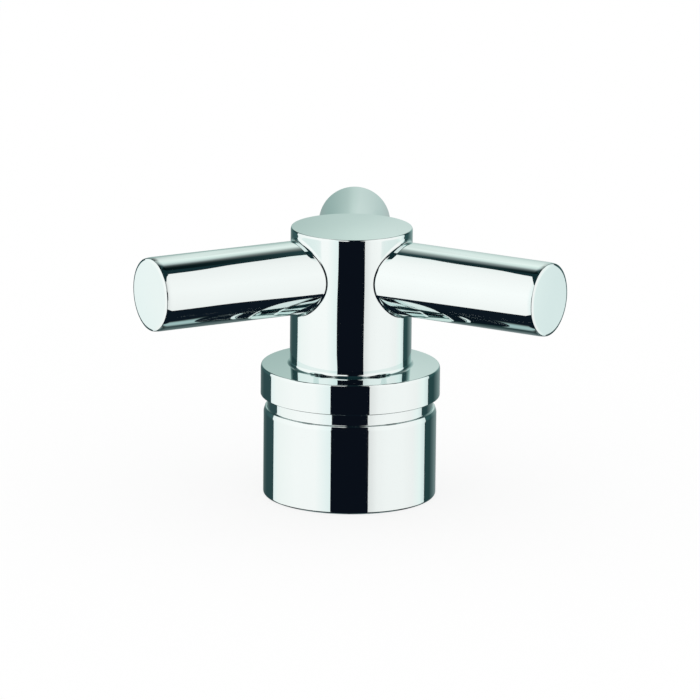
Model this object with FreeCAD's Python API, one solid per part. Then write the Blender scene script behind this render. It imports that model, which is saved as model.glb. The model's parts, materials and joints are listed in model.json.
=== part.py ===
import FreeCAD, Part
import math
import os

from FreeCAD import Vector

# A tap handle: a three-spoke metal casting bored from below, with a moulded spindle insert and its screw.
# Millimetres. +Z is up along the spindle axis. The origin is the middle of the rim that the handle stands on.

# Skirt, groove and collar, from the rim upwards
skirt_diameter = 35.6
skirt_height = 18.45
groove_depth = 0.75
groove_width = 2.55
collar_overhang = 0.65
collar_height = 6.3
collar_crown = 0.25

# Hub and spokes
hub_diameter = 25.0
hub_height = 28.9
hub_crown = 0.35
spoke_count = 3
first_spoke_angle = 90.0
spoke_diameter = 15.1
spoke_reach = 46.6
spoke_drop = 9.3

# Edges and fillets of the casting. Polishing has eased the upper edges and the spoke tips: each wall leans in
# near its end, and the face of a tip falls away near its edge. The hub's foot sweeps out over the collar.
rim_edge = 0.5
groove_root = 0.2
sharp_edge = 0.25
ease_angle = 18.0
ease_bend = 1.3
skirt_ease = 0.95
collar_ease = 0.5
collar_edge = 0.2
hub_ease = 0.4
hub_root = 0.8
foot_angle = 60.0
foot_edge = 0.1
tip_angle = 10.0
tip_bend = 6.0
tip_face_ease = 0.5
tip_edge = 0.25
spoke_root = 0.8

# Hollow of the casting, from the rim upwards
skirt_wall = 1.9
skirt_bore_depth = 15.0
groove_wall = 2.4
collar_plate = 3.0
cast_radius = 0.8
socket_diameter = 16.0
socket_depth = 19.5

# Snap insert and the way it is held in the socket
insert_clearance = 0.1
insert_end_gap = 0.5
flange_overhang = 2.5
flange_thickness = 1.5
key_count = 4
key_width = 2.0
key_height = 1.0
key_length = 10.0
snap_height = 0.4
snap_width = 1.6
snap_drop = 2.6
finger_thickness = 1.6
slit_width = 1.2
insert_edge = 0.3

# Toothed socket for the valve spindle
spindle_diameter = 8.0
spindle_teeth = 20
tooth_depth = 0.35
tooth_clearance = 0.1
pilot_clearance = 0.2
pilot_length = 4.2
toothed_length = 8.0
web_thickness = 2.5

# Pan head screw that holds the insert on the spindle
screw_diameter = 4.0
screw_length = 10.0
screw_clearance = 0.2
screw_point = 0.6
head_diameter = 7.6
head_height = 2.6
head_edge = 1.0
recess_width = 1.0
recess_span = 4.4
recess_depth = 1.5

# Cutting solids run this far past the faces that they open, and points closer than this are one point
overrun = 1.0
same_point = 1e-6

# Radii and heights that several pieces share
skirt_radius = skirt_diameter / 2
groove_radius = skirt_radius - groove_depth
collar_radius = skirt_radius + collar_overhang
hub_radius = hub_diameter / 2
spoke_radius = spoke_diameter / 2
socket_radius = socket_diameter / 2
snap_radius = socket_radius + snap_height
collar_bottom = skirt_height + groove_width
collar_top = collar_bottom + collar_height
hub_top = collar_top + hub_height
spoke_axis_height = hub_top - spoke_drop
ceiling = collar_top - collar_plate
socket_top = ceiling + socket_depth
snap_middle = socket_top - snap_drop
flange_bottom = ceiling - flange_thickness
pilot_top = flange_bottom + pilot_length
web_bottom = pilot_top + toothed_length
web_top = web_bottom + web_thickness
lean = math.tan(math.radians(ease_angle))
foot_height = collar_top + collar_crown
foot_turn = math.radians(foot_angle)
foot_ease = (hub_root * math.tan(foot_turn / 2) + foot_edge) * math.cos(foot_turn)
tip_turn = math.radians(tip_angle)
tip_ease = (tip_bend * math.tan(tip_turn / 2) + tip_edge) * math.cos(tip_turn)
axis_up = Vector(0, 0, 1)


def corner_arc(before, corner, after, radius):
    """The arc of a radius that rounds a corner between two straight runs."""
    to_before = (before - corner).normalize()
    to_after = (after - corner).normalize()
    half_angle = to_before.getAngle(to_after) / 2
    inwards = (to_before + to_after).normalize()
    setback = radius / math.tan(half_angle)
    nearest = radius / math.sin(half_angle) - radius
    start = corner + to_before * setback
    end = corner + to_after * setback
    return Part.Arc(start, corner + inwards * nearest, end)


def turned(outline):
    """A solid turned about Z from a closed outline of (radius, height, corner radius)."""
    corners = [Vector(radius, 0, height) for radius, height, _ in outline]
    pieces = []
    for index, corner in enumerate(corners):
        corner_radius = outline[index][2]
        if corner_radius > 0:
            after = corners[(index + 1) % len(corners)]
            arc = corner_arc(corners[index - 1], corner, after, corner_radius)
            pieces.append((arc.StartPoint, arc.EndPoint, arc))
        else:
            pieces.append((corner, corner, None))
    edges = []
    for index, (start, end, arc) in enumerate(pieces):
        if arc:
            edges.append(arc.toShape())
        next_start = pieces[(index + 1) % len(pieces)][0]
        if end.distanceToPoint(next_start) > same_point:
            edges.append(Part.LineSegment(end, next_start).toShape())
    face = Part.Face(Part.Wire(edges))
    return face.revolve(Vector(0, 0, 0), axis_up, 360)


def around(shape, count, first_angle=0.0):
    """Copies of a shape, evenly turned about Z."""
    copies = []
    for index in range(count):
        copy = shape.copy()
        copy.rotate(Vector(0, 0, 0), axis_up, first_angle + index * 360.0 / count)
        copies.append(copy)
    return copies


def radial_bar(inner_radius, outer_radius, width, bottom, top):
    """A square bar that points out from the axis along +X."""
    corner = Vector(inner_radius, -width / 2, bottom)
    return Part.makeBox(outer_radius - inner_radius, width, top - bottom, corner)


def eased_edge(radius, top, ease):
    """The two outline corners of a wall that leans in over its last stretch below a flat top."""
    return [(radius, top - ease, ease_bend), (radius - ease * lean, top, sharp_edge)]


def domed_top():
    """The two outline corners of the hub's top, one large arc that rises from near the edge to the axis."""
    middle = (hub_radius - hub_ease) / 2
    slope = math.atan2(hub_crown, hub_radius - hub_ease * lean - middle)
    dome_radius = middle / math.tan(slope / 2)
    return [(middle, hub_top + hub_crown, dome_radius), (0, hub_top + hub_crown, 0)]


def casting_outside():
    """Skirt, groove, collar and hub as one turned solid, with its seam clear of the spokes."""
    body = turned([
        (0, 0, 0),
        (skirt_radius, 0, rim_edge),
        *eased_edge(skirt_radius, skirt_height, skirt_ease),
        (groove_radius, skirt_height, groove_root),
        (groove_radius, collar_bottom, groove_root),
        (collar_radius, collar_bottom, collar_edge),
        *eased_edge(collar_radius, collar_top, collar_ease),
        (hub_radius + foot_ease * math.tan(foot_turn), foot_height, foot_edge),
        (hub_radius, foot_height + foot_ease, hub_root),
        *eased_edge(hub_radius, hub_top, hub_ease),
        *domed_top(),
    ])
    body.rotate(Vector(0, 0, 0), axis_up, first_spoke_angle - 180.0 / spoke_count)
    return body


def casting_spokes():
    """Round bars that run out from the axis, each with its side and its face eased at the tip."""
    edge_radius = spoke_radius - tip_ease * math.tan(tip_turn)
    edge_reach = spoke_reach - tip_face_ease * lean
    bar = turned([
        (0, 0, 0),
        (spoke_radius, 0, 0),
        (spoke_radius, edge_reach - tip_ease, tip_bend),
        (edge_radius, edge_reach, tip_edge),
        (edge_radius - tip_face_ease, spoke_reach, ease_bend),
        (0, spoke_reach, 0),
    ])
    bar.rotate(Vector(0, 0, 0), Vector(0, 1, 0), 90)
    bar.translate(Vector(0, 0, spoke_axis_height))
    return around(bar, spoke_count, first_spoke_angle)


def on_spoke_root(edge):
    """Whether an edge is where a spoke's side meets the hub's side. The dome's pole has no length."""
    if edge.Degenerated:
        return False
    tolerance = 0.001
    spacing = 360.0 / spoke_count
    for point in edge.discretize(9):
        radius = math.hypot(point.x, point.y)
        turn = math.degrees(math.atan2(point.y, point.x)) - first_spoke_angle
        off_spoke = (turn + spacing / 2) % spacing - spacing / 2
        sideways = radius * math.sin(math.radians(off_spoke))
        from_axis = math.hypot(sideways, point.z - spoke_axis_height)
        if abs(radius - hub_radius) > tolerance or abs(from_axis - spoke_radius) > tolerance:
            return False
    return True


def casting_hollow():
    """The space bored out from below: skirt bore, collar space, insert socket and snap groove."""
    bore_radius = skirt_radius - skirt_wall
    space_radius = groove_radius - groove_wall
    return turned([
        (0, -overrun, 0),
        (bore_radius, -overrun, 0),
        (bore_radius, skirt_bore_depth, 0),
        (space_radius, skirt_bore_depth, 0),
        (space_radius, ceiling, cast_radius),
        (socket_radius, ceiling, 0),
        (socket_radius, snap_middle - snap_width / 2, 0),
        (snap_radius, snap_middle - snap_width / 2, 0),
        (snap_radius, snap_middle + snap_width / 2, 0),
        (socket_radius, snap_middle + snap_width / 2, 0),
        (socket_radius, socket_top, cast_radius),
        (0, socket_top, 0),
    ])


def handle_body():
    """The casting: outside and spokes in one, filleted where they meet, then bored."""
    solid = casting_outside().multiFuse(casting_spokes()).removeSplitter()
    roots = [edge for edge in solid.Edges if on_spoke_root(edge)]
    solid = solid.makeFillet(spoke_root, roots)
    keyway = radial_bar(
        socket_radius / 2,
        socket_radius + key_height,
        key_width + 2 * insert_clearance,
        ceiling - overrun,
        ceiling + key_length + insert_clearance,
    )
    return solid.cut([casting_hollow()] + around(keyway, key_count))


def toothed_prism():
    """The star-shaped space that the teeth of the insert leave for the spindle."""
    root_radius = spindle_diameter / 2 + tooth_clearance
    points = []
    for index in range(2 * spindle_teeth):
        radius = root_radius - tooth_depth * (index % 2)
        angle = math.pi * index / spindle_teeth
        points.append(Vector(radius * math.cos(angle), radius * math.sin(angle), pilot_top))
    star = Part.Face(Part.makePolygon(points + points[:1]))
    return star.extrude(axis_up * toothed_length)


def snap_insert():
    """The moulded insert: flange, keyed barrel, toothed socket, screw web and sprung fingers with a bead."""
    barrel_radius = socket_radius - insert_clearance
    bead_radius = snap_radius - insert_clearance
    bead_half_width = snap_width / 2 - insert_clearance
    top = socket_top - insert_end_gap
    solid = turned([
        (0, flange_bottom, 0),
        (socket_radius + flange_overhang, flange_bottom, insert_edge),
        (socket_radius + flange_overhang, ceiling, 0),
        (barrel_radius, ceiling, 0),
        (barrel_radius, snap_middle - bead_half_width, 0),
        (bead_radius, snap_middle - bead_half_width, 0),
        (bead_radius, snap_middle + bead_half_width, 0),
        (barrel_radius, snap_middle + bead_half_width, 0),
        (barrel_radius, top, insert_edge),
        (0, top, 0),
    ])
    key = radial_bar(
        barrel_radius / 2,
        socket_radius + key_height - insert_clearance,
        key_width,
        ceiling - flange_thickness / 2,
        ceiling + key_length,
    )
    solid = solid.multiFuse(around(key, key_count)).removeSplitter()
    pilot_radius = spindle_diameter / 2 + pilot_clearance
    pilot = Part.makeCylinder(pilot_radius, pilot_length + overrun, Vector(0, 0, flange_bottom - overrun))
    hole_radius = screw_diameter / 2 + screw_clearance
    hole = Part.makeCylinder(hole_radius, web_thickness + 2 * overrun, Vector(0, 0, web_bottom - overrun))
    finger_room = Part.makeCylinder(
        barrel_radius - finger_thickness,
        top - web_top + overrun,
        Vector(0, 0, web_top),
    )
    slit = radial_bar(0, bead_radius + overrun, slit_width, web_top, top + overrun)
    slits = around(slit, key_count, 180.0 / key_count)
    return solid.cut([pilot, toothed_prism(), hole, finger_room] + slits)


def fixing_screw():
    """The pan head screw that rests on the insert's web and points down into the spindle."""
    screw_radius = screw_diameter / 2
    head_top = web_top + head_height
    point = web_top - screw_length
    solid = turned([
        (0, point, 0),
        (screw_radius - screw_point, point, 0),
        (screw_radius, point + screw_point, 0),
        (screw_radius, web_top, 0),
        (head_diameter / 2, web_top, 0),
        (head_diameter / 2, head_top, head_edge),
        (0, head_top, 0),
    ])
    slot = radial_bar(
        -recess_span / 2,
        recess_span / 2,
        recess_width,
        head_top - recess_depth,
        head_top + overrun,
    )
    crossing_slot = slot.copy()
    crossing_slot.rotate(Vector(0, 0, 0), axis_up, 90)
    return solid.cut([slot, crossing_slot])


os.makedirs("parts", exist_ok=True)
handle_body().exportStep("parts/handle_body.step")
snap_insert().exportStep("parts/snap_insert.step")
fixing_screw().exportStep("parts/fixing_screw.step")
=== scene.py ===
import json
import math

import bmesh
import bpy
import numpy as np
from mathutils import Matrix, Vector


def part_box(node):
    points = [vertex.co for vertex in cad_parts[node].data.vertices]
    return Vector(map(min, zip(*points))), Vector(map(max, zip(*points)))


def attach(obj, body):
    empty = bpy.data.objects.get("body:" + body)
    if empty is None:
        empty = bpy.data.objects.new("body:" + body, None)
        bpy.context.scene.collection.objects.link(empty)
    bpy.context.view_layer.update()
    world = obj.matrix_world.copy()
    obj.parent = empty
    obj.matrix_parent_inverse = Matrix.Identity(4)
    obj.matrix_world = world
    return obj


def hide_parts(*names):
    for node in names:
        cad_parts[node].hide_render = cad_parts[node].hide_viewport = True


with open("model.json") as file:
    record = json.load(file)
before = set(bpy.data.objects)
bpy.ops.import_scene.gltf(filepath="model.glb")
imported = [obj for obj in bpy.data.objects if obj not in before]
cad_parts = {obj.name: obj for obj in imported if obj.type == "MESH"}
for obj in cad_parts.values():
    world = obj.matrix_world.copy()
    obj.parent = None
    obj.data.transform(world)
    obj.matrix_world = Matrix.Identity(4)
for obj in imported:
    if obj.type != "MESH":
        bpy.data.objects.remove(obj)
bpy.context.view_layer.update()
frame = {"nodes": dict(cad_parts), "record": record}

# A chromed tap handle with three spokes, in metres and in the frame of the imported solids.
MM = 0.001
mounts = {mount["name"]: mount["dims"] for mount in frame["record"]["mounts"]}

# Outside of the casting, from the rim upwards
skirt_radius = 17.8 * MM
skirt_height = 18.45 * MM
groove_depth = 0.75 * MM
groove_width = 2.55 * MM
collar_overhang = 0.65 * MM
collar_height = 6.3 * MM
collar_crown = 0.25 * MM
hub_radius = 12.5 * MM
hub_crown = 0.35 * MM
hub_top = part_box("handle_body")[1].z - hub_crown
groove_radius = skirt_radius - groove_depth
collar_radius = skirt_radius + collar_overhang
collar_bottom = skirt_height + groove_width
collar_top = collar_bottom + collar_height

# Spokes
spoke_count = 3
first_spoke_angle = math.radians(90)
spoke_radius = 7.55 * MM
spoke_drop = 9.3 * MM
spoke_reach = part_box("handle_body")[1].y
spoke_axis_height = hub_top - spoke_drop

# Edges and fillets of the casting. Polishing has eased the upper edges and the spoke tips: each wall leans in
# near its end, and the face of a tip falls away near its edge. The hub's foot sweeps out over the collar.
rim_edge = 0.5 * MM
inner_edge = 0.15 * MM
groove_root = 0.2 * MM
sharp_edge = 0.25 * MM
ease_angle = math.radians(18)
ease_bend = 1.3 * MM
skirt_ease = 0.95 * MM
collar_ease = 0.5 * MM
collar_edge = 0.2 * MM
hub_ease = 0.4 * MM
hub_root = 0.8 * MM
foot_angle = math.radians(60)
foot_edge = 0.1 * MM
tip_angle = math.radians(10)
tip_bend = 6.0 * MM
tip_face_ease = 0.5 * MM
tip_edge = 0.25 * MM
spoke_root = 0.8 * MM
lean = math.tan(ease_angle)
foot_height = collar_top + collar_crown
foot_ease = (hub_root * math.tan(foot_angle / 2) + foot_edge) * math.cos(foot_angle)
tip_ease = (tip_bend * math.tan(tip_angle / 2) + tip_edge) * math.cos(tip_angle)
hub_wall_bottom = foot_height + foot_ease + hub_root * math.tan(foot_angle / 2)
hub_wall_top = hub_top - hub_ease - ease_bend * math.tan(ease_angle / 2)

# Hollow of the casting
bore_radius = mounts["skirt_bore"]["r_mm"] * MM
bore_depth = mounts["skirt_bore"]["length_mm"] * MM
groove_wall = 2.4 * MM
collar_plate = 3.0 * MM
cast_radius = 0.8 * MM
socket_radius = 8.0 * MM
socket_depth = 19.5 * MM
snap_height = 0.4 * MM
snap_width = 1.6 * MM
snap_drop = 2.6 * MM
keyway_count = 4
keyway_depth = 1.0 * MM
keyway_length = 10.1 * MM
keyway_half_width = 1.1 * MM
space_radius = groove_radius - groove_wall
ceiling = collar_top - collar_plate
socket_top = ceiling + socket_depth
snap_radius = socket_radius + snap_height
snap_bottom = socket_top - snap_drop - snap_width / 2
snap_top = socket_top - snap_drop + snap_width / 2
keyway_top = ceiling + keyway_length

# Mesh density
columns_per_spoke = 72
rows_up_hub = 40
hub_rings = 6
fillet_steps = 12
bar_steps = 6
degrees_per_arc_step = 6
least_arc_steps = 4
merge_distance = 1e-7

# The camera of the photograph
camera_elevation = math.radians(13.953)
camera_azimuth = math.radians(0.717)
camera_roll = math.radians(0.564)
camera_distance = 1.32056
camera_target = Vector((-0.124 * MM, 0, 30.218 * MM))
camera_lens = 330.48
camera_sensor = 36.0


def left_of(heading):
    """The direction a quarter turn to the left of a heading, in the plane of an outline."""
    return np.array([-math.sin(heading), math.cos(heading)])


def rounded_outline(corners):
    """Points and outward normals along corners of (radius, height, corner radius), the metal on the left."""
    places = [np.array(corner[:2]) for corner in corners]
    points, normals = [], []
    for index, place in enumerate(places):
        before = places[max(index - 1, 0)]
        after = places[min(index + 1, len(places) - 1)]
        arriving = math.atan2(*reversed(place - before)) if index else None
        leaving = math.atan2(*reversed(after - place)) if index < len(places) - 1 else arriving
        arriving = leaving if arriving is None else arriving
        turn = math.remainder(leaving - arriving, math.tau)
        rounding = corners[index][2] * math.copysign(1, turn)
        setback = abs(rounding * math.tan(turn / 2))
        start = place - setback * np.array([math.cos(arriving), math.sin(arriving)])
        centre = start + rounding * left_of(arriving)
        steps = 0
        if rounding:
            steps = max(math.ceil(abs(math.degrees(turn)) / degrees_per_arc_step), least_arc_steps)
        for step in range(steps + 1):
            heading = arriving + turn * step / max(steps, 1)
            points.append(centre - rounding * left_of(heading))
            normals.append(-left_of(heading))
    return np.array(points), np.array(normals)


def turned_grid(outline, angles):
    """An outline turned about Z, as points and normals with a row for each outline point."""
    around = np.stack([np.cos(angles), np.sin(angles)], axis=1)
    grids = []
    for rows in outline:
        flat = rows[:, None, :1] * around[None]
        heights = np.repeat(rows[:, None, 1:], len(angles), axis=1)
        grids.append(np.concatenate([flat, heights], axis=2))
    return grids


def eased_edge(radius, top, ease):
    """The two outline corners of a wall that leans in over its last stretch below a flat top."""
    return [(radius, top - ease, ease_bend), (radius - ease * lean, top, sharp_edge)]


def domed_top():
    """The two outline corners of the hub's top, one large arc that rises from near the edge to the axis."""
    middle = (hub_radius - hub_ease) / 2
    slope = math.atan2(hub_crown, hub_radius - hub_ease * lean - middle)
    return [(middle, hub_top + hub_crown, middle / math.tan(slope / 2)), (0, hub_top + hub_crown, 0)]


def cut_keyways(points, angles):
    """Moves the socket's wall out to the floor of each keyway, over the keyway's width and height."""
    heights = points[:, 0, 2]
    radii = np.hypot(points[:, 0, 0], points[:, 0, 1])
    wall = (heights < keyway_top - inner_edge / 2) & (radii < socket_radius + 1.5 * inner_edge)
    wall &= (heights > ceiling - inner_edge / 2) & (radii > socket_radius - inner_edge / 2)
    for middle in math.tau * np.arange(keyway_count) / keyway_count:
        offset = np.remainder(angles - middle + math.pi, math.tau) - math.pi
        columns = np.abs(offset) < math.asin(keyway_half_width / socket_radius)
        sideways = keyway_half_width * offset[columns] / np.abs(offset[columns]).max()
        for row in np.flatnonzero(wall):
            outwards = radii[row] + keyway_depth
            points[row, columns, 0] = outwards * math.cos(middle) - sideways * math.sin(middle)
            points[row, columns, 1] = outwards * math.sin(middle) + sideways * math.cos(middle)


def lower_casting(angles):
    """Everything turned below the hub's plain wall: the hollow, rim, skirt, groove and collar."""
    points, normals = turned_grid(rounded_outline([
        (0, socket_top, 0),
        (socket_radius, socket_top, cast_radius),
        (socket_radius, snap_top, inner_edge),
        (snap_radius, snap_top, inner_edge),
        (snap_radius, snap_bottom, inner_edge),
        (socket_radius, snap_bottom, inner_edge),
        (socket_radius, keyway_top, 0),
        (socket_radius, keyway_top - inner_edge, 0),
        (socket_radius, ceiling, inner_edge),
        (space_radius, ceiling, cast_radius),
        (space_radius, bore_depth, inner_edge),
        (bore_radius, bore_depth, inner_edge),
        (bore_radius, 0, inner_edge),
        (skirt_radius, 0, rim_edge),
        *eased_edge(skirt_radius, skirt_height, skirt_ease),
        (groove_radius, skirt_height, groove_root),
        (groove_radius, collar_bottom, groove_root),
        (collar_radius, collar_bottom, collar_edge),
        *eased_edge(collar_radius, collar_top, collar_ease),
        (hub_radius + foot_ease * math.tan(foot_angle), foot_height, foot_edge),
        (hub_radius, foot_height + foot_ease, hub_root),
        (hub_radius, hub_wall_bottom, 0),
    ]), angles)
    cut_keyways(points, angles)
    return points, normals


def upper_casting(angles):
    """The eased edge and domed top of the hub."""
    return turned_grid(rounded_outline([
        (hub_radius, hub_wall_top, 0),
        *eased_edge(hub_radius, hub_top, hub_ease),
        *domed_top(),
    ]), angles)


def sector_loop():
    """Turn and height of the points round one spoke's share of the hub's wall, seen counterclockwise."""
    half = math.pi / spoke_count
    across = np.linspace(-half, half, columns_per_spoke + 1)
    upright = np.linspace(hub_wall_bottom, hub_wall_top, rows_up_hub + 1)
    turns = np.concatenate([
        across[:-1], np.full(rows_up_hub, half), across[:0:-1], np.full(rows_up_hub, -half),
    ])
    heights = np.concatenate([
        np.full(columns_per_spoke, hub_wall_bottom), upright[:-1],
        np.full(columns_per_spoke, hub_wall_top), upright[:0:-1],
    ])
    return turns, heights


def spoke(direction):
    """One spoke with its share of the hub's wall: rows run over the wall, the root fillet and out to the tip.

    Local axes are along the spoke, sideways and up. The root fillet is the path of a ball that rolls in the
    corner.
    """
    turns, heights = sector_loop()
    bearing = np.arctan2(heights - spoke_axis_height, hub_radius * turns)
    side, up = np.cos(bearing), np.sin(bearing)
    zero, one = np.zeros_like(bearing), np.ones_like(bearing)
    reach = spoke_radius + spoke_root
    outwards = np.sqrt((hub_radius + spoke_root) ** 2 - (reach * side) ** 2)
    ball = np.stack([outwards, reach * side, reach * up], axis=1)
    points, normals = [], []

    contact_turns = np.arctan2(ball[:, 1], ball[:, 0])
    for share in np.linspace(0, 1, hub_rings + 1):
        turn = turns + share * (contact_turns - turns)
        height = heights - spoke_axis_height + share * (ball[:, 2] - heights + spoke_axis_height)
        points.append(np.stack([hub_radius * np.cos(turn), hub_radius * np.sin(turn), height], axis=1))
        normals.append(np.stack([np.cos(turn), np.sin(turn), zero], axis=1))

    to_hub = -np.stack([np.cos(contact_turns), np.sin(contact_turns), zero], axis=1)
    to_bar = -np.stack([zero, side, up], axis=1)
    opening = np.arccos(np.sum(to_hub * to_bar, axis=1))[:, None]
    for share in np.linspace(0, 1, fillet_steps + 1)[1:]:
        ray = (np.sin((1 - share) * opening) * to_hub + np.sin(share * opening) * to_bar) / np.sin(opening)
        points.append(ball + spoke_root * ray)
        normals.append(-ray)

    edge_radius = spoke_radius - tip_ease * math.tan(tip_angle)
    edge_reach = spoke_reach - tip_face_ease * lean
    bar_end = edge_reach - 2 * tip_ease
    for share in np.linspace(0, 1, bar_steps + 1)[1:]:
        along = ball[:, 0] + share * (bar_end - ball[:, 0])
        points.append(np.stack([along, spoke_radius * side, spoke_radius * up], axis=1))
        normals.append(np.stack([zero, side, up], axis=1))

    tip = rounded_outline([
        (spoke_radius, bar_end, 0),
        (spoke_radius, edge_reach - tip_ease, tip_bend),
        (edge_radius, edge_reach, tip_edge),
        (edge_radius - tip_face_ease, spoke_reach, ease_bend),
        (0, spoke_reach, 0),
    ])
    for (radius, along), (sideways, forwards) in zip(*tip):
        points.append(np.stack([along * one, radius * side, radius * up], axis=1))
        normals.append(np.stack([forwards * one, sideways * side, sideways * up], axis=1))

    turned = np.array(Matrix.Rotation(direction, 3, "Z")).T
    return np.array(points) @ turned + np.array([0, 0, spoke_axis_height]), np.array(normals) @ turned


def mesh_of_grids(name, grids):
    """One closed mesh of grids whose columns run round, joined at shared points, with true normals."""
    points, normals, faces = [], [], []
    for grid_points, grid_normals in grids:
        rows, columns = grid_points.shape[:2]
        first = sum(len(block) for block in points)
        index = first + np.arange(rows * columns).reshape(rows, columns)
        beside = np.roll(index, -1, axis=1)
        faces.append(np.stack([index[:-1], beside[:-1], beside[1:], index[1:]], axis=2).reshape(-1, 4))
        points.append(grid_points.reshape(-1, 3))
        normals.append(grid_normals.reshape(-1, 3))
    mesh = bpy.data.meshes.new(name)
    mesh.from_pydata(np.concatenate(points).tolist(), [], np.concatenate(faces).tolist())
    true_normal = mesh.attributes.new("true_normal", "FLOAT_VECTOR", "POINT")
    true_normal.data.foreach_set("vector", np.concatenate(normals).ravel())

    merged = bmesh.new()
    merged.from_mesh(mesh)
    bmesh.ops.remove_doubles(merged, verts=merged.verts, dist=merge_distance)
    merged.to_mesh(mesh)
    merged.free()

    kept = np.empty(len(mesh.vertices) * 3)
    mesh.attributes["true_normal"].data.foreach_get("vector", kept)
    mesh.attributes.remove(mesh.attributes["true_normal"])
    mesh.shade_smooth()
    mesh.normals_split_custom_set_from_vertices(kept.reshape(-1, 3).tolist())
    return mesh


def add_object(name, mesh, material):
    """A mesh object in the scene with one material."""
    mesh.materials.append(material)
    piece = bpy.data.objects.new(name, mesh)
    bpy.context.scene.collection.objects.link(piece)
    return piece


def add_node(tree, kind, inputs, **settings):
    """A node with its settings made, and each input set to a value or linked to another node's output."""
    node = tree.nodes.new(kind)
    for name, value in settings.items():
        setattr(node, name, value)
    for name, value in inputs.items():
        if isinstance(value, bpy.types.NodeSocket):
            tree.links.new(value, node.inputs[name])
        else:
            node.inputs[name].default_value = value
    return node


def new_material(name):
    """An empty node material: its tree, its surface shader and its object coordinates."""
    material = bpy.data.materials.new(name)
    material.use_nodes = True
    tree = material.node_tree
    shader = tree.nodes["Principled BSDF"]
    place = tree.nodes.new("ShaderNodeTexCoord").outputs["Object"]
    return material, tree, shader, place


def noise(tree, place, scale, detail=2.0):
    """Soft noise with so many features to a metre."""
    inputs = {"Vector": place, "Scale": scale, "Detail": detail}
    return add_node(tree, "ShaderNodeTexNoise", inputs).outputs["Fac"]


def remap(tree, value, from_low, from_high, to_low, to_high):
    """A value carried smoothly from one range to another."""
    node = add_node(tree, "ShaderNodeMapRange", {
        "Value": value, "From Min": from_low, "From Max": from_high, "To Min": to_low, "To Max": to_high,
    }, interpolation_type="SMOOTHSTEP")
    return node.outputs["Result"]


def colour_between(tree, share, first, second):
    """A colour that goes from the first to the second with a share."""
    node = add_node(tree, "ShaderNodeMix", {0: share}, data_type="RGBA")
    node.inputs[6].default_value = (*first, 1)
    node.inputs[7].default_value = (*second, 1)
    return node.outputs[2]


def bored_inside(tree, place, height):
    """1 in the hollow of the casting and 0 on its outside, fading inside the metal and the socket's mouth."""
    level = add_node(tree, "ShaderNodeMapping", {"Vector": place, "Scale": (1, 1, 0)}).outputs["Vector"]
    radius = add_node(tree, "ShaderNodeVectorMath", {0: level}, operation="LENGTH").outputs["Value"]
    within = remap(tree, radius, bore_radius + 0.1 * MM, bore_radius + 0.5 * MM, 1, 0)
    below = remap(tree, height, ceiling + 0.5 * MM, ceiling + 1.0 * MM, 1, 0)
    return add_node(tree, "ShaderNodeMath", {0: within, 1: below}, operation="MULTIPLY").outputs["Value"]


def chrome():
    """Polished chrome, slightly wavy from hand polishing above the turned collar and dull inside the bore."""
    wave_height = 0.45 * MM
    wave_onset = 4 * MM
    material, tree, shader, place = new_material("polished_chrome")
    height = add_node(tree, "ShaderNodeSeparateXYZ", {"Vector": place}).outputs["Z"]
    inside = bored_inside(tree, place, height)
    above_collar = remap(tree, height, hub_wall_bottom, hub_wall_bottom + wave_onset, 0, 1)
    waves = noise(tree, place, 55, 0.0)
    waviness = add_node(tree, "ShaderNodeBump", {
        "Strength": above_collar, "Distance": wave_height, "Height": waves,
    })
    haze = noise(tree, place, 90)
    grain = noise(tree, place, 1500, 3.0)
    polished = colour_between(tree, haze, (0.745, 0.845, 0.835), (0.765, 0.865, 0.855))
    as_cast = colour_between(tree, grain, (0.42, 0.42, 0.40), (0.58, 0.58, 0.55))
    smooth = remap(tree, haze, 0.3, 0.7, 0.02, 0.05)
    dull = remap(tree, grain, 0.3, 0.7, 0.35, 0.5)
    colour = add_node(tree, "ShaderNodeMix", {0: inside, 6: polished, 7: as_cast}, data_type="RGBA")
    roughness = add_node(tree, "ShaderNodeMix", {0: inside, 2: smooth, 3: dull})
    shader.inputs["Metallic"].default_value = 1.0
    tree.links.new(colour.outputs[2], shader.inputs["Base Color"])
    tree.links.new(roughness.outputs[0], shader.inputs["Roughness"])
    tree.links.new(waviness.outputs["Normal"], shader.inputs["Normal"])
    return material


def moulded_plastic():
    """Off-white moulded plastic with a fine eroded texture."""
    material, tree, shader, place = new_material("moulded_plastic")
    cloud = noise(tree, place, 300)
    grain = noise(tree, place, 9000, 3.0)
    texture = add_node(tree, "ShaderNodeBump", {"Strength": 0.25, "Distance": 0.05 * MM, "Height": grain})
    colour = colour_between(tree, cloud, (0.74, 0.73, 0.68), (0.83, 0.82, 0.77))
    tree.links.new(colour, shader.inputs["Base Color"])
    tree.links.new(remap(tree, grain, 0.3, 0.7, 0.4, 0.6), shader.inputs["Roughness"])
    tree.links.new(texture.outputs["Normal"], shader.inputs["Normal"])
    return material


def screw_steel():
    """Zinc plated steel with fine turning lines."""
    material, tree, shader, place = new_material("zinc_steel")
    cloud = noise(tree, place, 500)
    stretched = add_node(tree, "ShaderNodeMapping", {"Vector": place, "Scale": (1, 1, 40)}).outputs["Vector"]
    lines = noise(tree, stretched, 400, 3.0)
    texture = add_node(tree, "ShaderNodeBump", {"Strength": 0.2, "Distance": 0.03 * MM, "Height": lines})
    colour = colour_between(tree, cloud, (0.52, 0.53, 0.52), (0.66, 0.66, 0.62))
    shader.inputs["Metallic"].default_value = 1.0
    tree.links.new(colour, shader.inputs["Base Color"])
    tree.links.new(remap(tree, lines, 0.3, 0.7, 0.25, 0.42), shader.inputs["Roughness"])
    tree.links.new(texture.outputs["Normal"], shader.inputs["Normal"])
    return material


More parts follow.
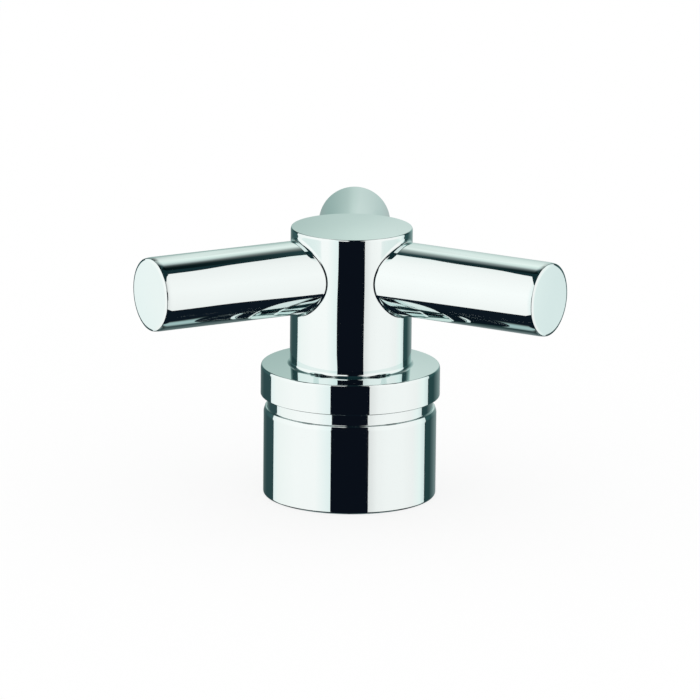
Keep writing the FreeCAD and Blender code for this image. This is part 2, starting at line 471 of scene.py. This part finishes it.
def casting():
    """The chromed casting as one smooth closed mesh with the form of its solid."""
    columns = spoke_count * columns_per_spoke
    angles = first_spoke_angle - math.pi / spoke_count + math.tau * np.arange(columns) / columns
    grids = [lower_casting(angles), upper_casting(angles)]
    for index in range(spoke_count):
        grids.append(spoke(first_spoke_angle + index * math.tau / spoke_count))
    return add_object("chromed_handle", mesh_of_grids("chromed_handle", grids), chrome())


handle = casting()
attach(handle, "root")
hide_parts("handle_body")

for node_name, material in (("snap_insert", moulded_plastic()), ("fixing_screw", screw_steel())):
    node_mesh = frame["nodes"][node_name].data
    node_mesh.materials.clear()
    node_mesh.materials.append(material)


# Colours that the studio shows to the chrome
black = (0.0032, 0.0050, 0.0095)
below_black = (0.0042, 0.0086, 0.0150)
ceiling_teal = (0.0074, 0.025, 0.030)
pale_strip = (0.36, 0.51, 0.51)
wall_foot = (0.02, 0.05, 0.055)
wall_low = (0.185, 0.24, 0.245)
wall_middle = (0.33, 0.40, 0.40)
wall_eye = (0.475, 0.62, 0.60)
wall_upper = (0.72, 0.85, 0.82)
wall_bright = (0.88, 0.98, 0.95)
wall_top = (0.52, 0.61, 0.61)
wall_gap = (0.09, 0.17, 0.18)
right_gap = (0.066, 0.148, 0.154)
top_gap = (0.033, 0.072, 0.079)
side_teal = (0.3, 0.4, 0.4)
box_edge = (0.83, 0.92, 0.92)
box_middle = (0.935, 0.963, 0.954)
card_light = (1.23, 1.15, 1.145)


def colour_ramp(tree, attribute, stops, light):
    """Colours along one of a card's two directions, from {angle: colour or brightness}, times a light."""
    angles = sorted(stops)
    share = add_node(tree, "ShaderNodeAttribute", {}, attribute_name=attribute).outputs["Fac"]
    node = add_node(tree, "ShaderNodeValToRGB", {"Fac": share})
    elements = node.color_ramp.elements
    while len(elements) < len(angles):
        elements.new(1.0)
    for element, angle in zip(elements, angles):
        colour = stops[angle] if isinstance(stops[angle], tuple) else (stops[angle],) * 3
        element.position = (angle - angles[0]) / (angles[-1] - angles[0])
        element.color = (*(part * gain for part, gain in zip(colour, light)), 1)
    return node.outputs["Color"]


def card_material(name, across, up):
    """The light of a card: its colours by elevation, dimmed by azimuth."""
    material = bpy.data.materials.new(name)
    material.use_nodes = True
    tree = material.node_tree
    tree.nodes.clear()
    product = add_node(tree, "ShaderNodeMix", {0: 1.0}, data_type="RGBA", blend_type="MULTIPLY")
    tree.links.new(colour_ramp(tree, "up", up, card_light), product.inputs[6])
    tree.links.new(colour_ramp(tree, "across", across, (1, 1, 1)), product.inputs[7])
    glow = add_node(tree, "ShaderNodeEmission", {"Color": product.outputs[2], "Strength": 1.0})
    add_node(tree, "ShaderNodeOutputMaterial", {"Surface": glow.outputs["Emission"]})
    return material


def studio_card(name, across, up, distance, edge=None):
    """A curved card round the object, which only reflections see.

    across is {azimuth: brightness} and up is {elevation: colour}, in degrees, with azimuth 0 towards the
    camera. edge is {azimuth: elevation} along the side nearest the horizon, where that isn't level.
    """
    steps = 24
    shares = np.linspace(0, 1, steps + 1)
    share_up, share_across = (grid.ravel() for grid in np.meshgrid(shares, shares, indexing="ij"))
    azimuth = min(across) + share_across * (max(across) - min(across))
    bottom, top = min(up), max(up)
    if edge:
        slanted = np.interp(azimuth, sorted(edge), [edge[angle] for angle in sorted(edge)])
        bottom, top = (slanted, top) if bottom > 0 else (bottom, slanted)
    elevation = np.radians(bottom + share_up * (top - bottom))
    azimuth = np.radians(azimuth) + camera_azimuth
    level = distance * np.cos(elevation)
    height = distance * np.sin(elevation)
    points = np.stack([level * np.sin(azimuth), -level * np.cos(azimuth), height], axis=1)
    index = np.arange((steps + 1) ** 2).reshape(steps + 1, steps + 1)
    quads = np.stack([index[:-1, :-1], index[:-1, 1:], index[1:, 1:], index[1:, :-1]], axis=2)
    faces = quads.reshape(-1, 4)
    mesh = bpy.data.meshes.new(name)
    mesh.from_pydata(points.tolist(), [], faces.tolist())
    for attribute, values in (("across", share_across), ("up", share_up)):
        mesh.attributes.new(attribute, "FLOAT", "POINT").data.foreach_set("value", values)
    card = add_object(name, mesh, card_material(name, across, up))
    card.location.z = hub_top / 2
    card.visible_camera = False
    card.visible_diffuse = False
    card.visible_transmission = False
    card.visible_shadow = False


def studio():
    """A small light tent: soft boxes at both sides, dark gaps between, a grey wall behind, a dark ceiling."""
    far, near, nearest = 0.26, 0.24, 0.238
    gap_left, gap_right = -24.2, 24.0
    box_left, box_right = -119, 115.5
    wall_left = box_left + 360

    soft = {-39: 0.92, -10: 0.97, 20: 1.0, 45: 0.97, 73: 0.92}
    studio_card("left_soft_box", {
        box_left: box_edge, -108: box_middle, -75: 1.0, -45: 1.0, gap_left: box_edge,
    }, soft, far)
    studio_card("right_soft_box", {
        gap_right: 0.78, 36: 0.93, 50: 0.965, 72: 0.965, 90: 0.93,
        105: (0.86, 0.95, 0.935), box_right: (0.68, 0.79, 0.79),
    }, soft, far)

    front = {gap_left: 1.0, gap_right: 1.0}
    studio_card("front_gap_low", front, {-39: black, 20.2: black}, near)
    studio_card("front_gap_high", {gap_left: 1.0, -8: 1.0, -4: black, 15: black, 20: 0.3, gap_right: 0.5},
                {20.2: 0.03, 21.3: 0.97, 52: 0.95}, near)
    studio_card("front_ceiling", front, {52: ceiling_teal, 90: ceiling_teal}, near)
    studio_card("right_ceiling", {gap_right: 1.0, 106: 1.0}, {48: ceiling_teal, 90: ceiling_teal}, near, {
        gap_right: 48, 30: 56, 37: 62, 45: 65.5, 52: 66.5, 58: 66.9, 72: 69, 88: 69.4, 106: 66.8,
    })
    studio_card("left_ceiling", {box_left: 1.0, gap_left: 1.0}, {51: ceiling_teal, 90: ceiling_teal}, near, {
        box_left: 69, -106: 71, -90: 71.2, -72: 70.3, -58: 68, -45: 64, -37: 60.5, -30: 56, gap_left: 51,
    })

    studio_card("left_below", {-117: 1.0, 0: 1.0}, {-60: below_black, -39: below_black}, near,
                {-60: -39, gap_left: -32})
    studio_card("right_below", {0: 1.0, 117: 1.0}, {-60: below_black, -35: below_black}, near,
                {gap_right: -29, 40: -34.5, 50: -36.5, 60: -35.5})
    studio_card("front_below", {-97: 1.0, 97: 1.0}, {-90: below_black, -60: below_black}, near)
    fade = {97: 0.04, 105: 0.25, 115: 0.75, 128: 1.0, 148: 1.0, 158: 0.75, 165: 0.3, 180: 0.06}
    for side, name in ((-1, "left_strip"), (1, "right_strip")):
        studio_card(name, {side * azimuth: share for azimuth, share in fade.items()},
                    {-90: pale_strip, -60: pale_strip}, near)

    wall = {153: (0.5, 0.6, 0.6), 168: 0.88, 176: 0.89, 180: (0.81, 0.84, 0.83), 184: (0.67, 0.72, 0.71),
            193: (0.53, 0.61, 0.6), 203: (0.22, 0.29, 0.29)}
    studio_card("rear_wall_low", {
        box_right: right_gap, 131: right_gap, **wall, 218: wall_gap, wall_left: wall_gap,
    }, {-60: wall_foot, -32: wall_low, -12: wall_middle, 4: wall_eye}, near)
    studio_card("rear_wall_middle", {
        box_right: top_gap, 131: top_gap, **wall, 218: top_gap, wall_left: top_gap,
    }, {4: wall_eye, 28: wall_upper}, near)
    studio_card("rear_wall_upper", {
        box_right: side_teal, 138: top_gap, 153: 0.4, 168: 0.88, 176: 0.91, 180: 0.86, 183: 0.82,
        186: 0.87, 189: 0.85, 192: 0.7, 195: 0.45, 201: 0.13, 218: top_gap, wall_left: side_teal,
    }, {28: wall_upper, 50: wall_bright}, nearest, {184: 28, 188: 21, 192: 21, 198: 28})
    studio_card("rear_wall_top", {
        105.5: top_gap, 139: top_gap, 153: 0.22, 161: 0.45, 169: 0.84, 178: 0.97, 190: 0.88, 199: 0.48,
        222: top_gap, wall_left: top_gap,
    }, {
        50: wall_bright, 60.5: wall_upper, 66.5: wall_top, 71.5: wall_low, 77: wall_foot, 90: wall_foot,
    }, near)


studio()


def floor():
    """A plain white floor just under the rim, with a faint shadow. The camera sees mostly its white."""
    reach = 4.0
    below_rim = 0.02 * MM
    own_white = 0.75
    mesh = bpy.data.meshes.new("floor")
    corners = [(-reach, -reach, 0), (reach, -reach, 0), (reach, reach, 0), (-reach, reach, 0)]
    mesh.from_pydata(corners, [], [(0, 1, 2, 3)])
    material, tree, shader, _ = new_material("white_floor")
    shader.inputs["Base Color"].default_value = (1, 1, 1, 1)
    shader.inputs["Roughness"].default_value = 1.0
    shader.inputs["Specular IOR Level"].default_value = 0.0
    to_camera = add_node(tree, "ShaderNodeLightPath", {}).outputs["Is Camera Ray"]
    share = add_node(tree, "ShaderNodeMath", {0: to_camera, 1: own_white}, operation="MULTIPLY")
    white = add_node(tree, "ShaderNodeEmission", {"Color": (1, 1, 1, 1), "Strength": 1.0}).outputs["Emission"]
    mixed = add_node(tree, "ShaderNodeMixShader", {
        0: share.outputs["Value"], 1: shader.outputs["BSDF"], 2: white,
    })
    tree.links.new(mixed.outputs["Shader"], tree.nodes["Material Output"].inputs["Surface"])
    plane = add_object("floor", mesh, material)
    plane.location.z = -below_rim
    plane.visible_glossy = False


def white_world():
    """Even white light from all round."""
    world = bpy.data.worlds.new("white_studio")
    world.use_nodes = True
    background = world.node_tree.nodes["Background"]
    background.inputs["Color"].default_value = (1, 1, 1, 1)
    background.inputs["Strength"].default_value = 1.0
    bpy.context.scene.world = world


def photo_camera():
    """The camera, turned about Z and rolled as in the photograph."""
    data = bpy.data.cameras.new("photo_camera")
    data.lens = camera_lens
    data.sensor_width = camera_sensor
    camera = bpy.data.objects.new("photo_camera", data)
    bpy.context.scene.collection.objects.link(camera)
    back = Vector((0, -math.cos(camera_elevation), math.sin(camera_elevation)))
    right = Vector((1, 0, 0))
    up = back.cross(right)
    rolled_right = math.cos(camera_roll) * right + math.sin(camera_roll) * up
    rolled_up = back.cross(rolled_right)
    axes = Matrix((rolled_right, rolled_up, back)).transposed().to_4x4()
    place = Matrix.Translation(camera_target + camera_distance * back)
    camera.matrix_world = Matrix.Rotation(camera_azimuth, 4, "Z") @ place @ axes
    bpy.context.scene.camera = camera


floor()
white_world()
photo_camera()
bpy.context.scene.view_settings.view_transform = "Standard"
